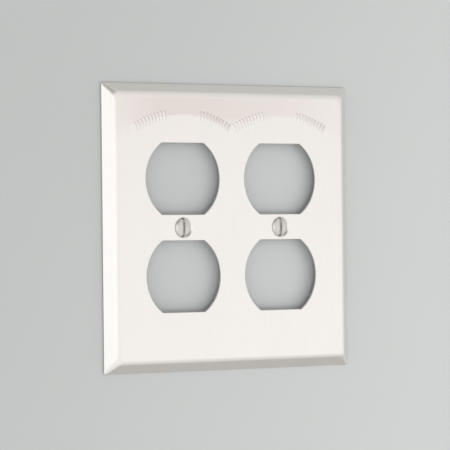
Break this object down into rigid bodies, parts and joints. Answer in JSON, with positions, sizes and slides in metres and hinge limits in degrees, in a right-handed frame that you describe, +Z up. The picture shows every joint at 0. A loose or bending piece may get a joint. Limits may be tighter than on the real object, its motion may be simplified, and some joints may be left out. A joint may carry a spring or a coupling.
{
  "type": "duplex receptacle wall plate",
  "caption": "Square stainless-steel wall cover plate with a sloped rim, duplex receptacle openings and dimpled holes with oval-head slotted screws.",
  "frame": {"origin": "centre of the plate on the wall plane, where the back of the rim rests", "axes": "+X to the viewer's right, +Z up, -Y out of the wall towards the viewer"},
  "size_m": [0.116, 0.0137, 0.1142],
  "materials": {
    "brushed_stainless": "fine satin brushed, grain upright",
    "screw_steel": "turned bright"
  },
  "bodies": {
    "plate": {"wall_plate": "brushed_stainless"},
    "left_screw": {"left_screw": "screw_steel"},
    "right_screw": {"right_screw": "screw_steel"}
  },
  "joints": [
    {"name": "left_screw_withdraw", "type": "slide", "parent": "plate", "child": "left_screw", "axis": [0, -1, 0], "range_m": [0, 0.016]},
    {"name": "right_screw_withdraw", "type": "slide", "parent": "plate", "child": "right_screw", "axis": [0, -1, 0], "range_m": [0, 0.016]}
  ]
}
